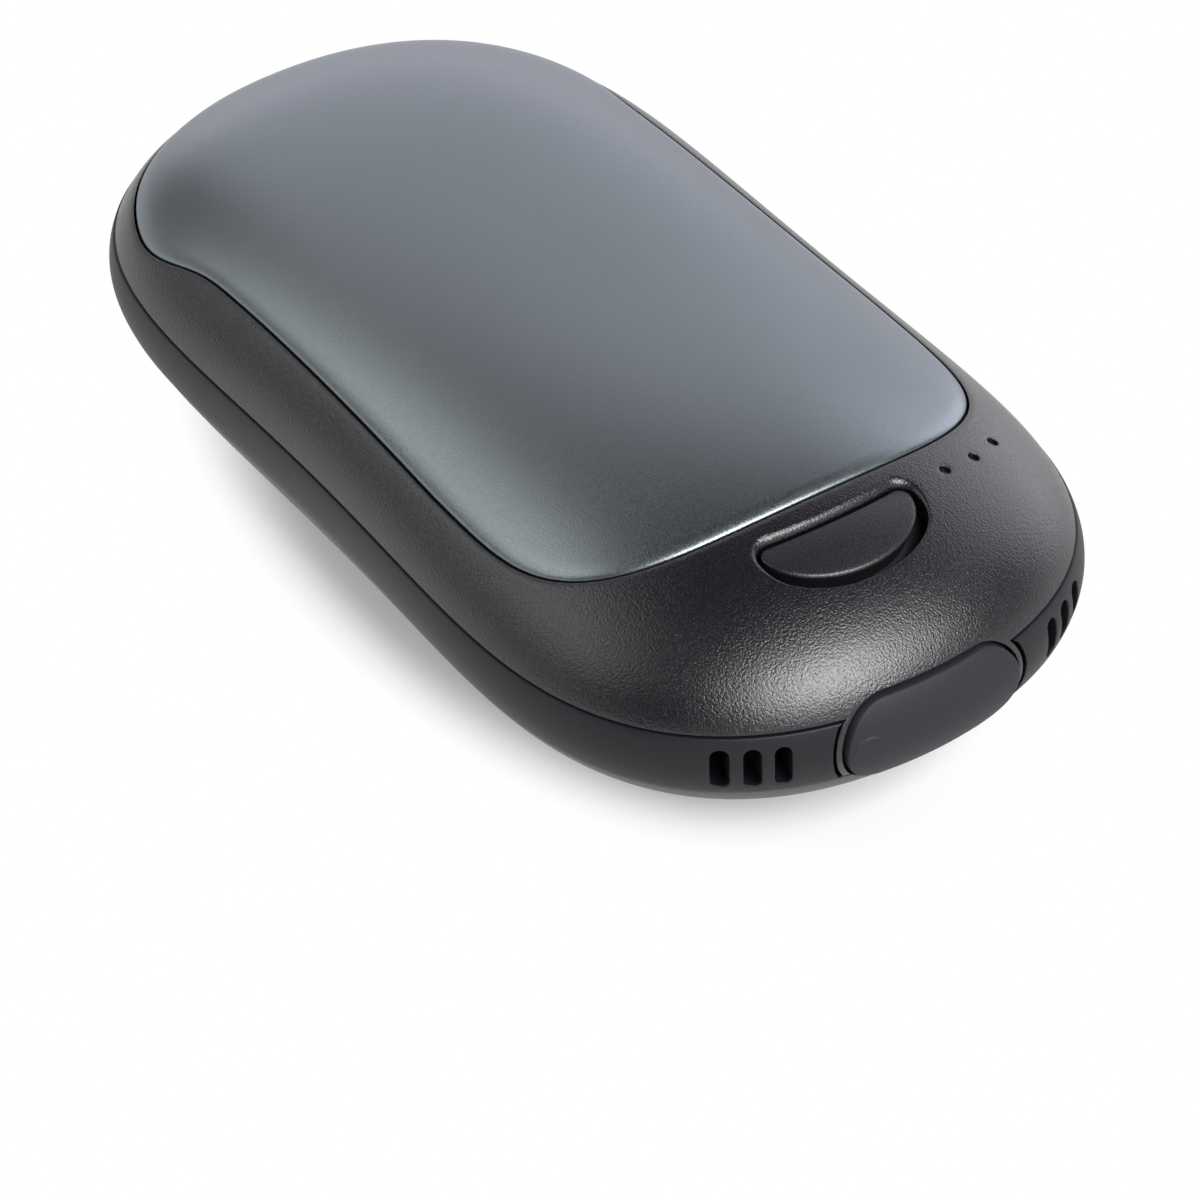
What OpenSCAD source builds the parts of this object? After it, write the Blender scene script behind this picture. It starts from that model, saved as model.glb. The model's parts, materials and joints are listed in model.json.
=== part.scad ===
// Rechargeable hand warmer: a pebble-shaped case with a metal heat plate on each face,
// a soft band round its middle, a press button, three lights and a covered charging port.
// The front, with the port, points along +X. The button and the lights are on the top, +Z.

/* [Body] */
// Length of the case without the port cover
body_l = 104; // [103:0.5:106]
// Width of the case where it is widest
body_w = 53; // [52.8:0.1:53.6]
// Share by which the long sides are drawn in at their middle
waist_depth = 0.086; // [0.07:0.002:0.09]
// Height of the upper half, from the middle of the band to the crown
top_h = 13.5; // [13.4:0.1:14]
// Height of the lower half, from the middle of the band to the crown
bottom_h = 13.2; // [13.2:0.1:13.6]
// How deep the lower crown is cut flat, so that the case rests without rocking
rest_cut = 0.2; // [0.15:0.05:0.25]
// Wall of the shells and the band
wall = 2.1; // [2:0.05:2.15]

/* [Heat plates] */
// Thickness of each aluminium plate
plate_t = 1; // [0.8:0.1:1]
// Front end of the plates, from the middle of the case
plate_front = 35.4; // [35:0.1:35.8]
// Half width of the plates at their front
plate_side_front = 21.8; // [21.4:0.1:22]
// Half width of the plates at their waist
plate_side_waist = 21.3; // [20.8:0.1:21.4]
// Height of the plate edge above the middle of the band round the back end
plate_edge_z = 5.7; // [5.4:0.1:6]
// Gap round the plates
plate_gap = 0.2; // [0.15:0.05:0.3]
// Thickness of the heater films under the plates
heater_t = 0.2; // [0.15:0.05:0.2]

/* [Band and vents] */
// Half height of the band at the long sides
band_side_z = 2.4; // [2.2:0.1:2.6]
// Half height of the band at the ends
band_end_z = 2.9; // [2.8:0.1:3.1]
// Width of one vent slot
vent_w = 1.35; // [1:0.05:1.5]
// Height of one vent slot
vent_h = 3.7; // [3:0.1:4]
// Distance between the vent slots
vent_pitch = 2.15; // [2.1:0.05:2.2]
// Distance of the first vent slot from the middle of the port
vent_first_y = 13.05; // [12.9:0.05:13.1]

/* [Port and cover] */
// Width of the rubber cover
cover_w = 16.6; // [16.4:0.1:17]
// Height of the rubber cover
cover_h = 7.8; // [7.8:0.1:8.2]
// Thickness of the rubber cover
cover_t = 1.45; // [1.3:0.05:1.5]
// How far the cover stands out of the case
cover_proud = 0.4; // [0.4:0.05:0.6]
// Gap round the cover
cover_gap = 0.25; // [0.25:0.05:0.3]
// Line where the cover bends, from the middle of the port
cover_bend_y = -4.3; // [-4.4:0.1:-4.2]
// Middle of the socket, from the middle of the port
socket_y = 1.5; // [1.45:0.05:1.55]
// Width of the metal shell of the socket
socket_w = 8.94; // [8.9:0.01:9]
// Height of the metal shell of the socket
socket_h = 3.26; // [3.2:0.01:3.3]

/* [Button and lights] */
// Middle of the button, from the middle of the case
button_x = 40.3; // [40.2:0.1:40.5]
// Depth of the button from its straight side to its round side
button_depth = 5.2; // [5:0.1:5.3]
// Gap round the button
button_gap = 0.8; // [0.7:0.05:0.9]
// Diameter of the light windows
light_d = 1; // [0.9:0.05:1.2]
// Radius of the arc that the lights lie on
light_arc_r = 14.4; // [14:0.1:14.8]

/* [Battery and board] */
// Diameter of a cell
cell_d = 18.2; // [18:0.1:18.2]
// Length of a cell
cell_l = 65; // [64.8:0.1:65]
// Thickness of the circuit board
board_t = 1.2; // [1:0.1:1.2]

/* [Quality] */
// Points round the case
around = 56; // [48:4:72]
// Rings from the band to a crown
rings = 7; // [6:1:9]

/* [Hidden] */
$fn = 48;
eps = 0.02;

half_l = body_l/2;
// The case stands on z = 0 and the whole object is centred along X
shift_x = -cover_proud/2;
base_z = bottom_h - rest_cut;

// The plan is |x/a|^(2 p) + |y/b|^p = 1 with its long sides drawn in towards the middle, and
// each section across the case is an ellipse
plan_power = 2.12;
// Share of the width that the waist leaves at x
function waist(x) = 1 - waist_depth*pow(cos(90*x/half_l), 2);
// Widest point of the plan for a half width of 1
fullness = max([for (s = [0:0.02:1]) waist(s*half_l)*pow(1 - pow(s, 2*plan_power), 1/plan_power)]);
half_w = body_w/2/fullness;
// Gap between a shell and the band
seam = 0.04;

// Plate outline
plate_corner_x = 16;
plate_corner_power = 4.4;
plate_bow = 0.006;
plate_side_x = plate_corner_x - plate_bow*plate_side_front*plate_side_front;
plate_waist_x = -8;
flare_start_x = -22.5;
flare_end_x = -36;
plate_level = pow(1 - pow(plate_edge_z/top_h, 2), plan_power/2);

// The rubber cover is a slice of a ring that follows the front of the case
cover_x = half_l + cover_proud;
cover_plan_r = 42;
cover_side_r = 7.2;
recess_floor_x = 48.6;
recess_w = 12.5;
recess_r = 3.3;
bezel_back_x = 46.9;
bezel_rim = 0.75;
rib_tip_x = 49.4;
rib_near_y = -4.15;
rib_far_y = 7.2;
rib_r = 3.05;
rib_y = (rib_near_y + rib_far_y)/2;
rib_wall = 0.8;
anchor_y = -6.4;
anchor_d = 1.9;
anchor_barb = 1;
socket_back_x = 42.6;
socket_mouth_x = 49.2;
socket_wall = 0.3;
tongue_w = 6.68;
tongue_t = 0.7;
tongue_l = 3.4;

// Button: half an ellipse whose straight side follows the plate's front edge
button_half_w = 7;
button_back_r = 90;
button_corner_r = 0.9;
button_sink = 0.1;
button_brow_z = 10.8;
button_brow_slope = 4;
button_skirt = 1.4;
flange_gap = 0.2;
flange_t = 1;
stem_x = 40;
stem_d = 2.4;
switch_w = 4.5;
switch_h = 3.5;
plunger_d = 1.8;
plunger_top_z = 3;
light_arc_x = 23.1;
light_arc_y = 9.7;
light_start = 5.8;
light_step = 14.2;
light_count = 3;

// Inside
cell_y = cell_d/2 + 0.1;
cell_lift = 0.12;
board_top_z = -1.7;
board_back_x = 33.8;
board_front_x = 46.6;
board_clear = 3.2;
board_screw_x = 42;
board_screw_y = 13.6;
case_screw_x = -40;
case_screw_y = 14;
screw_d = 1.7;
screw_head_d = 3.2;
screw_head_h = 1.1;
boss_r = 2.1;
boss_reach = 1.7;
film_gap = 0.05;
pocket = plate_t + heater_t + 2*film_gap;
window_x = 30;
window_d = 4;
heater_l = 56;
heater_w = 30;
heater_tail_w = 3.6;
bead_d = 1.2;
rib_x = [-18, 16.5];

black_shell = "#1d1d21";
band_grey = "#2c2d31";
plate_grey = "#5d676c";
film_amber = "#b5651d";
nickel = "#c9c7c0";

// Radius of the plan in direction dir, for half length a and half width b
function plan_r(dir, a, b) =
    let (ka = pow(abs(cos(dir)/a), 2*plan_power), kb = pow(abs(sin(dir)/b), plan_power))
    pow(2/(kb + sqrt(kb*kb + 4*ka)), 1/plan_power);
// Direction of point i, spread evenly along the outline
function plan_dir(i, count) = atan2(half_w*sin(360*i/count), half_l*cos(360*i/count));
// Point of the plan before the waist is drawn in
function plan_point(dir, inset) =
    plan_r(dir, half_l - inset, half_w - inset)*[cos(dir), sin(dir)];
// The point of the skin over or under a point of the plan, at an angle up from the rim
function skin_point(p, tilt, z) = let (x = p[0]*sqrt(cos(tilt))) [x, p[1]*cos(tilt)*waist(x), z];
// Level of a point of the plan: 0 in the middle and 1 on the outline
function level(x, y, inset) = pow(abs(x/(half_l - inset)), 2*plan_power)
    + pow(abs(y/(half_w - inset)/waist(x)), plan_power);
// Height of the crown over a point of the plan
function surface_z(x, y, inset, h) =
    (h - inset)*sqrt(max(0, 1 - pow(level(x, y, inset), 2/plan_power)));
// Half width of the plan at x, on one level
function level_y(x, lev) =
    half_w*waist(x)*pow(max(0, lev - pow(abs(x/half_l), 2*plan_power)), 1/plan_power);
// Half height of the band where the outline has the X coordinate x
function seam_z(x) = band_side_z + (band_end_z - band_side_z)*pow(x/half_l, 2);

// One ring of points on the crown: rise is 0 at the rim and 1 at the top
function crown_ring(inset, h, rise, low, count) = [for (i = [0:count - 1])
    let (
        p = plan_point(plan_dir(i, count), inset),
        rim = asin((is_undef(low) ? seam_z(p[0]) + seam : low)/(h - inset)),
        tilt = rim + (88 - rim)*rise
    )
    skin_point(p, tilt, (h - inset)*sin(tilt))];
function ring_faces(from, to, count, flip = false) = [for (i = [0:count - 1])
    let (j = (i + 1)%count)
    each flip ? [[from + i, to + i, to + j], [from + i, to + j, from + j]]
        : [[from + i, to + j, to + i], [from + i, from + j, to + j]]];
function fan_faces(ring, tip, count, flip = false) = [for (i = [0:count - 1])
    let (j = (i + 1)%count) flip ? [ring + i, tip, ring + j] : [ring + i, ring + j, tip]];

// Solid crown over the band plane, or over a flat plane at height low
module crown(inset, h, low = undef) {
    points = [for (r = [0:rings]) each crown_ring(inset, h, r/rings, low, around)];
    top = len(points);
    bottom_z = is_undef(low) ? band_side_z + seam : low;
    polyhedron(
        points = concat(points, [[0, 0, h - inset], [0, 0, bottom_z]]),
        faces = concat(
            [for (r = [0:rings - 1]) each ring_faces(r*around, (r + 1)*around, around, true)],
            fan_faces(rings*around, top, around, true),
            fan_faces(0, top + 1, around)),
        convexity = 4);
}

// Hollow crown: an outer skin and an inner skin joined along the rim
module crown_shell(h) {
    outer = [for (r = [0:rings]) each crown_ring(0, h, r/rings, undef, around)];
    inner = [for (r = [0:rings]) each crown_ring(wall, h, r/rings, undef, around)];
    skin = len(outer) + 1;
    polyhedron(
        points = concat(outer, [[0, 0, h]], inner, [[0, 0, h - wall]]),
        faces = concat(
            [for (r = [0:rings - 1]) each ring_faces(r*around, (r + 1)*around, around, true)],
            fan_faces(rings*around, skin - 1, around, true),
            [for (r = [0:rings - 1])
                each ring_faces(skin + r*around, skin + (r + 1)*around, around)],
            fan_faces(skin + rings*around, skin + skin - 1, around),
            ring_faces(0, skin, around)),
        convexity = 6);
}

// Points of the plate outline on the +Y side, from the front to the back
function smooth(s) = s*s*(3 - 2*s);
function plate_waist(x) = plate_side_waist + (plate_side_front - plate_side_waist)
    *pow((x - plate_waist_x)/(plate_side_x - plate_waist_x), 2);
plate_front_points = [for (a = [0:7.5:90])
    let (y = plate_side_front*pow(sin(a), 2/plate_corner_power))
    [plate_corner_x + (plate_front - plate_corner_x)*pow(cos(a), 2/plate_corner_power)
        - plate_bow*y*y, y]];
plate_side_points = [for (x = [plate_side_x - 6:-6:flare_start_x + 3]) [x, plate_waist(x)]];
plate_flare_points = [for (s = [0:0.125:1])
    let (x = flare_start_x + (flare_end_x - flare_start_x)*s)
    [x, plate_waist(x)*(1 - smooth(s)) + level_y(x, plate_level)*smooth(s)]];
plate_back_x = half_l*pow(plate_level, 1/(2*plan_power));
plate_back_points = [for (a = [12:12:84])
    let (x = flare_end_x - (plate_back_x + flare_end_x)*sin(a))
    [x, level_y(x, plate_level)]];
plate_half = concat(plate_front_points, plate_side_points, plate_flare_points, plate_back_points);

module plate_outline() {
    polygon(concat(plate_half, [[-plate_back_x, 0]],
        [for (i = [len(plate_half) - 1:-1:1]) [plate_half[i][0], -plate_half[i][1]]]));
}

module plate_prism(grow = 0) {
    linear_extrude(height = 20) offset(delta = grow) plate_outline();
}

module heat_plate(h) {
    difference() {
        intersection() {
            crown(0, h);
            plate_prism();
        }
        crown(plate_t, h, 0);
    }
}

// Pocket that a plate and its heater sit in
module plate_pocket(h) {
    difference() {
        plate_prism(plate_gap);
        crown(pocket, h, -1);
    }
}

module heater_film(h) {
    difference() {
        intersection() {
            crown(plate_t + film_gap, h, 0);
            linear_extrude(height = 20) {
                square([heater_l, heater_w], center = true);
                translate([0, -heater_tail_w/2]) square([window_x + 1, heater_tail_w]);
            }
        }
        crown(plate_t + film_gap + heater_t, h, -1);
    }
}

// Upright prism along X whose ends are half circles, as wide as w and as high as 2 r
module stadium(w, r, x0, x1, y = 0) {
    for (side = [-1, 1])
        translate([x0, y + side*(w/2 - r), 0])
            rotate([0, 90, 0])
                cylinder(h = x1 - x0, r = r);
    translate([x0, y - w/2 + r, -r])
        cube([x1 - x0, w - 2*r, 2*r]);
}

// Ring whose outside follows the front of the case
module cover_ring(r) {
    translate([cover_x - cover_plan_r, 0, 0])
        rotate([0, 0, -20])
            rotate_extrude(angle = 40, $fn = 96)
                translate([cover_plan_r - cover_side_r, 0])
                    circle(r = r);
}

module cover_skin() {
    difference() {
        intersection() {
            stadium(cover_w, cover_h/2, recess_floor_x, half_l + 3);
            cover_ring(cover_side_r);
        }
        cover_ring(cover_side_r - cover_t);
    }
}

module screw(length) {
    cylinder(h = length, d = screw_d);
    cylinder(h = screw_head_h, d = screw_head_d);
}

module screw_boss_pair(x, y, z0, z1) {
    for (side = [-1, 1])
        translate([x, side*y, z0])
            cylinder(h = z1 - z0, r = boss_r);
}

module hole_pair(x, y, z0, z1, d) {
    for (side = [-1, 1])
        translate([x, side*y, z0])
            cylinder(h = z1 - z0, d = d);
}

// Shape of the button from above, with its middle at the origin
module button_outline() {
    offset(r = button_corner_r)
        offset(delta = -button_corner_r)
            difference() {
                translate([-button_depth/2, 0])
                    polygon([for (a = [-93:6:93]) [button_depth*cos(a), button_half_w*sin(a)]]);
                translate([-button_depth/2 - button_back_r, 0])
                    circle(r = button_back_r, $fn = 180);
            }
}

// The button's outline, grown, as an upright prism from z0 to z1
module button_prism(grow, z0, z1) {
    translate([button_x, 0, z0])
        linear_extrude(height = z1 - z0)
            offset(delta = grow) button_outline();
}

// Window in the floor of a plate pocket, for the heater's leads
module lead_window() {
    translate([window_x, 0, 5])
        cylinder(h = 9, d = window_d);
}

function light_place(i) = let (a = light_start + light_step*i)
    [light_arc_x + light_arc_r*cos(a), light_arc_y + light_arc_r*sin(a)];

module place() {
    translate([shift_x, 0, base_z])
        children();
}

module top_plate() {
    color(plate_grey) place() heat_plate(top_h);
}

module bottom_plate() {
    color(plate_grey) place() difference() {
        mirror([0, 0, 1]) heat_plate(bottom_h);
        translate([-half_l, -body_w/2, -bottom_h - 1])
            cube([body_l, body_w, 1 + rest_cut]);
    }
}

module upper_shell() {
    color(black_shell) place() difference() {
        union() {
            crown_shell(top_h);
            cover_frame();
            intersection() {
                crown(boss_reach, top_h, -2);
                union() {
                    screw_boss_pair(case_screw_x, case_screw_y, seam, top_h);
                    screw_boss_pair(board_screw_x, board_screw_y, board_top_z + seam, top_h);
                }
            }
        }
        plate_pocket(top_h);
        hole_pair(case_screw_x, case_screw_y, -1, 4.6, screw_d + 0.1);
        hole_pair(board_screw_x, board_screw_y, -3, 3.4, screw_d + 0.1);
        stadium(cover_w + 2*cover_gap, cover_h/2 + cover_gap, bezel_back_x, half_l + 2);
        button_prism(button_gap, 2, top_h);
        for (i = [0:light_count - 1])
            translate([light_place(i)[0], light_place(i)[1], 0])
                cylinder(h = top_h, d = light_d);
        lead_window();
    }
}

module lower_shell() {
    color("#37383c") place() mirror([0, 0, 1]) difference() {
        union() {
            crown_shell(bottom_h);
            intersection() {
                crown(boss_reach, bottom_h, 0);
                screw_boss_pair(case_screw_x, case_screw_y, seam, bottom_h);
            }
        }
        plate_pocket(bottom_h);
        hole_pair(case_screw_x, case_screw_y, -1, bottom_h, screw_d + 0.3);
        hole_pair(case_screw_x, case_screw_y, 4.4, bottom_h, screw_head_d + 0.4);
        stadium(cover_w + 2*cover_gap, cover_h/2 + cover_gap, bezel_back_x, half_l + 2);
        lead_window();
    }
}

// Points across the band, from its lower seam to its upper seam and back on the inside
function band_section(i) =
    let (
        dir = plan_dir(i, around),
        p = plan_point(dir, 0),
        q = plan_point(dir, wall),
        z = seam_z(p[0]) - seam
    )
    concat(
        [for (s = [-1:0.5:1])
            skin_point(p, asin(s*z/(s > 0 ? top_h : bottom_h)), s*z)],
        [skin_point(q, 0, z), skin_point(q, 0, -z)]);
band_steps = 7;

module band_ring() {
    polyhedron(
        points = [for (i = [0:around - 1]) each band_section(i)],
        faces = [for (i = [0:around - 1]) for (k = [0:band_steps - 1])
            let (j = (i + 1)%around, m = (k + 1)%band_steps)
            each [[i*band_steps + k, i*band_steps + m, j*band_steps + m],
                [i*band_steps + k, j*band_steps + m, j*band_steps + k]]],
        convexity = 6);
}

module vent_slot(y) {
    // Each slot goes in square to the outline of the case
    x = half_l*pow(1 - pow(abs(y)/half_w, plan_power), 1/(2*plan_power));
    slope = atan2(pow(abs(y)/half_w, plan_power - 1)*half_l,
        2*half_w*pow(x/half_l, 2*plan_power - 1));
    translate([x, y, 0])
        rotate([0, 0, sign(y)*slope])
            rotate([0, 90, 0])
                for (part = [-1, 1])
                    translate([part*(vent_h - vent_w)/2, 0, -4])
                        cylinder(h = 6, d = vent_w);
    translate([x, y, 0])
        rotate([0, 0, sign(y)*slope])
            translate([-4, -vent_w/2, -(vent_h - vent_w)/2])
                cube([6, vent_w, vent_h - vent_w]);
}

module mid_band() {
    color(band_grey) place() difference() {
        band_ring();
        stadium(cover_w + 2*bezel_rim + 2*seam, cover_h/2 + bezel_rim + seam, 44, half_l + 2);
        for (side = [-1, 1])
            for (i = [0:2])
                vent_slot(side*(vent_first_y + vent_pitch*i));
    }
}

// Recess behind the cover, with the hole that the socket comes through
module port_bezel() {
    color(black_shell) place() difference() {
        intersection() {
            cover_ring(cover_side_r - cover_t - 0.05);
            stadium(cover_w + cover_gap, (cover_h + cover_gap)/2, bezel_back_x, half_l + 1);
        }
        stadium(recess_w, recess_r, recess_floor_x, half_l + 2, socket_y);
        stadium(socket_w + 0.1, socket_h/2 + 0.05, bezel_back_x - 1, half_l + 2, socket_y);
        translate([bezel_back_x - 1, anchor_y, 0])
            rotate([0, 90, 0])
                cylinder(h = 6, d = anchor_d + 0.2);
    }
}

// Two strips of the upper shell that reach down between the band's ends and the cover
module cover_frame() {
    low_z = seam_z(half_l) - 3*seam;
    intersection() {
        crown_pair(0);
        stadium(cover_w + 2*bezel_rim, cover_h/2 + bezel_rim, bezel_back_x, half_l + 1);
        translate([bezel_back_x, -body_w/2, -low_z])
            cube([10, body_w, low_z + seam_z(half_l) + 0.5]);
    }
}

// Front stretch of the whole pebble, upper and lower half together
module crown_pair(inset) {
    intersection() {
        crown(inset, top_h, -3.4);
        translate([40, -body_w/2, -eps])
            cube([20, body_w, 20]);
    }
    intersection() {
        mirror([0, 0, 1]) crown(inset, bottom_h, -3.4);
        translate([40, -body_w/2, -20])
            cube([20, body_w, 20 + eps]);
    }
}

module port_cover() {
    color(band_grey) place() {
        difference() {
            cover_skin();
            translate([40, cover_bend_y - 20, -10])
                cube([20, 20, 20]);
        }
        difference() {
            intersection() {
                stadium(rib_far_y - rib_near_y, rib_r, rib_tip_x, half_l, rib_y);
                cover_ring(cover_side_r - cover_t + eps);
            }
            stadium(rib_far_y - rib_near_y - 2*rib_wall, rib_r - rib_wall,
                recess_floor_x, half_l, rib_y);
        }
    }
}

module cover_anchor() {
    color(band_grey) place() {
        intersection() {
            cover_skin();
            translate([40, cover_bend_y - 0.3 - 20, -10])
                cube([20, 20, 20]);
        }
        translate([bezel_back_x - 1.4, anchor_y, 0])
            rotate([0, 90, 0]) {
                cylinder(h = half_l - bezel_back_x + 0.6, d = anchor_d);
                cylinder(h = 1.3, d1 = anchor_d, d2 = anchor_d + anchor_barb);
            }
    }
}

// The button moves straight down. Its flange lies under the shell and its stem on the switch
module power_button() {
    color(black_shell) place() {
        difference() {
            union() {
                intersection() {
                    crown(button_sink, top_h, 0);
                    button_prism(0, 2, top_h);
                }
                intersection() {
                    crown(wall + flange_gap, top_h, 0);
                    button_prism(button_skirt, 2, top_h);
                }
            }
            crown(wall + flange_gap + flange_t, top_h, -1);
            // The brow along the straight side is flatter than the shell
            translate([button_x - button_depth/2, -button_half_w, button_brow_z])
                rotate([0, button_brow_slope, 0])
                    translate([-2, 0, 0])
                        cube([8, 2*button_half_w, 3]);
        }
        translate([stem_x, 0, plunger_top_z + eps])
            cylinder(h = 5, d = stem_d);
    }
}

module switch_plunger() {
    color("#d8d4c8") place()
        translate([stem_x, 0, board_top_z + 2.2])
            cylinder(h = plunger_top_z - board_top_z - 2.2, d = plunger_d);
}

module switch_body() {
    color(nickel) place()
        difference() {
            translate([stem_x - switch_w/2, -switch_w/2, board_top_z + eps])
                cube([switch_w, switch_w, switch_h]);
            translate([stem_x, 0, board_top_z + 1.5])
                cylinder(h = switch_h, d = plunger_d + 0.3);
        }
}

module light_guide() {
    color("#e9eef0") place() {
        for (i = [0:light_count - 1])
            translate([light_place(i)[0], light_place(i)[1], board_top_z + 1])
                cylinder(h = surface_z(light_place(i)[0], light_place(i)[1], 0.6, top_h)
                    - board_top_z - 1, d = light_d - 0.2);
        translate([light_arc_x, light_arc_y, 3])
            rotate([0, 0, light_start - 2])
                rotate_extrude(angle = 2*light_step + 4, $fn = 96)
                    translate([light_arc_r - 0.8, 0])
                        square([1.6, 1]);
    }
}

module indicator_leds() {
    color("#f4f1d8") place()
        for (i = [0:light_count - 1])
            translate([light_place(i)[0] - 0.8, light_place(i)[1] - 0.4, board_top_z + eps])
                cube([1.6, 0.8, 0.8]);
}

module circuit_board() {
    color("#1f5d3a") place() difference() {
        linear_extrude_at(board_top_z - board_t, board_t)
            intersection() {
                polygon([for (i = [0:around - 1])
                    let (p = skin_point(plan_point(plan_dir(i, around), board_clear), 0, 0)) [p[0], p[1]]]);
                translate([board_back_x, -body_w/2])
                    square([board_front_x - board_back_x, body_w]);
            }
        hole_pair(board_screw_x, board_screw_y, -5, 0, screw_d + 0.3);
    }
}

module linear_extrude_at(z, height) {
    translate([0, 0, z])
        linear_extrude(height = height)
            children();
}

module board_parts() {
    under = board_top_z - board_t - eps;
    color("#26262a") place() {
        translate([35, -8, under - 1.5]) cube([5, 5, 1.5]);
        translate([35, 3, under - 2.6]) cube([6, 6, 2.6]);
        translate([35, -15, under - 1.2]) cube([4, 5, 1.2]);
        for (y = [-9, 7.8])
            translate([42.5, y, under - 1]) cube([2, 1.2, 1]);
        translate([35.5, -9, board_top_z + eps]) cube([3.2, 1.6, 1.6]);
    }
}

module board_screws() {
    color("#8d9094") place()
        for (side = [-1, 1])
            translate([board_screw_x, side*board_screw_y, board_top_z - board_t - screw_head_h - eps])
                screw(5.6);
}

module usb_shell() {
    color(nickel) place() difference() {
        stadium(socket_w, socket_h/2, socket_back_x, socket_mouth_x, socket_y);
        stadium(socket_w - 2*socket_wall, socket_h/2 - socket_wall, socket_back_x + 0.6,
            socket_mouth_x + 1, socket_y);
    }
}

module usb_tongue() {
    color("#18181a") place() {
        stadium(socket_w - 2*socket_wall - 2*eps, socket_h/2 - socket_wall - eps,
            socket_back_x + 0.62, socket_back_x + 2.4, socket_y);
        translate([socket_back_x + 2.4, socket_y - tongue_w/2, -tongue_t/2])
            cube([tongue_l, tongue_w, tongue_t]);
    }
}

module cell(side) {
    translate([-cell_l/2, side*cell_y, cell_lift])
        rotate([0, 90, 0]) {
            difference() {
                cylinder(h = cell_l - 0.6, d = cell_d);
                translate([0, 0, cell_l - 1.4])
                    difference() {
                        cylinder(h = 2, d = 12);
                        translate([0, 0, -1]) cylinder(h = 4, d = 6);
                    }
            }
            cylinder(h = cell_l, d = 5.6);
        }
}

module cell_left() {
    color("#2f6f9f") place() cell(-1);
}

module cell_right() {
    color("#2f6f9f") place() cell(1);
}

module cell_cradle() {
    color("#3b3b3f") place() difference() {
        intersection() {
            mirror([0, 0, 1]) crown(wall + 0.08, bottom_h, 0);
            union() {
                for (x = rib_x)
                    translate([x, -20, -12]) cube([1.5, 40, 9]);
                translate([-18, -2, -12]) cube([36, 4, 8]);
            }
        }
        for (side = [-1, 1])
            translate([-40, side*cell_y, cell_lift])
                rotate([0, 90, 0])
                    cylinder(h = 80, d = cell_d + 0.1);
    }
}

module strip(x) {
    translate([x, -13, -4]) cube([0.15, 26, 8]);
}

module front_strip() {
    color(nickel) place() strip(cell_l/2 + eps);
}

module back_strip() {
    color(nickel) place() strip(-cell_l/2 - 0.15 - eps);
}

module upper_heater() {
    color(film_amber) place() heater_film(top_h);
}

module lower_heater() {
    color(film_amber) place() mirror([0, 0, 1]) heater_film(bottom_h);
}

// A bead under the heater's tail, with its two leads
module thermistor(h, route) {
    bead_z = surface_z(window_x, 0, plate_t + film_gap + heater_t, h) - bead_d/2 - 0.06;
    translate([window_x, 0, bead_z])
        sphere(d = bead_d, $fn = 24);
    for (y = [-0.3, 0.3])
        tube(concat([[window_x, y, bead_z - 0.3]], [for (p = route) [p[0], y, p[1]]]), 0.4);
}

module upper_thermistor() {
    color("#101010") place() thermistor(top_h, upper_route);
}

module lower_thermistor() {
    color("#101010") place() mirror([0, 0, 1]) thermistor(bottom_h, lower_route);
}

module foam(h, half_x, half_y, from_z) {
    intersection() {
        crown(wall + 0.08, h, 0);
        translate([-half_x, -half_y, from_z])
            cube([2*half_x, 2*half_y, 12]);
    }
}

module upper_foam() {
    color("#6e6e6a") place() foam(top_h, 22, 12, cell_d/2 + cell_lift + 0.05);
}

module lower_foam() {
    color("#6e6e6a") place() mirror([0, 0, 1]) difference() {
        foam(bottom_h, 16, 12, cell_d/2 - cell_lift + 0.05);
        translate([-20, -2.2, 0]) cube([40, 4.4, 14]);
    }
}

module case_screws() {
    color("#8d9094") place()
        for (side = [-1, 1])
            translate([case_screw_x, side*case_screw_y, -4.4 - screw_head_h])
                screw(9);
}

// Points [x, z] that the leads pass on their way to the board, from the plates
upper_route = [[30.7, 10], [31.7, 8], [33.4, 5.6], [34.6, 3.4], [35.3, 1], [35.5, -0.6],
    [35.5, board_top_z + 0.05]];
lower_route = [[30.8, 9.8], [32, 8.6], [33.6, 7.4], [34.8, 6], [35.4, 4.4],
    [35.5, -board_top_z + board_t + 0.05]];
lead_d = 0.7;

// Round tube of eight sides along a list of points
tube_sides = 8;
function tube_ring(path, i, d) =
    let (
        last = len(path) - 1,
        along = path[min(i + 1, last)] - path[max(i - 1, 0)],
        side = cross(along, [0, 1, 0])/norm(cross(along, [0, 1, 0])),
        up = cross(side, along)/norm(along)
    )
    [for (k = [0:tube_sides - 1])
        let (a = 360*k/tube_sides) path[i] + d/2*(side*cos(a) + up*sin(a))];

module tube(path, d) {
    last = (len(path) - 1)*tube_sides;
    polyhedron(
        points = [for (i = [0:len(path) - 1]) each tube_ring(path, i, d)],
        faces = concat(
            [for (i = [0:len(path) - 2])
                each ring_faces(i*tube_sides, (i + 1)*tube_sides, tube_sides)],
            [[for (k = [tube_sides - 1:-1:0]) k]],
            [[for (k = [0:tube_sides - 1]) last + k]]),
        convexity = 4);
}

module battery_leads() {
    color("#a02020") place()
        for (y = [-11, 11])
            translate([cell_l/2 + 0.2, y, board_top_z + 0.6])
                rotate([0, 90, 0])
                    cylinder(h = 2.8, d = 1, $fn = 24);
}

module heater_leads() {
    color("#c8c8c8") place()
        for (y = [-1.3, 1.3]) {
            tube([for (p = concat([[30.4, 10.98]], upper_route)) [p[0], y, p[1]]], lead_d);
            mirror([0, 0, 1])
                tube([for (p = concat([[30.4, 10.6]], lower_route)) [p[0], y, p[1]]], lead_d);
        }
}

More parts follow.
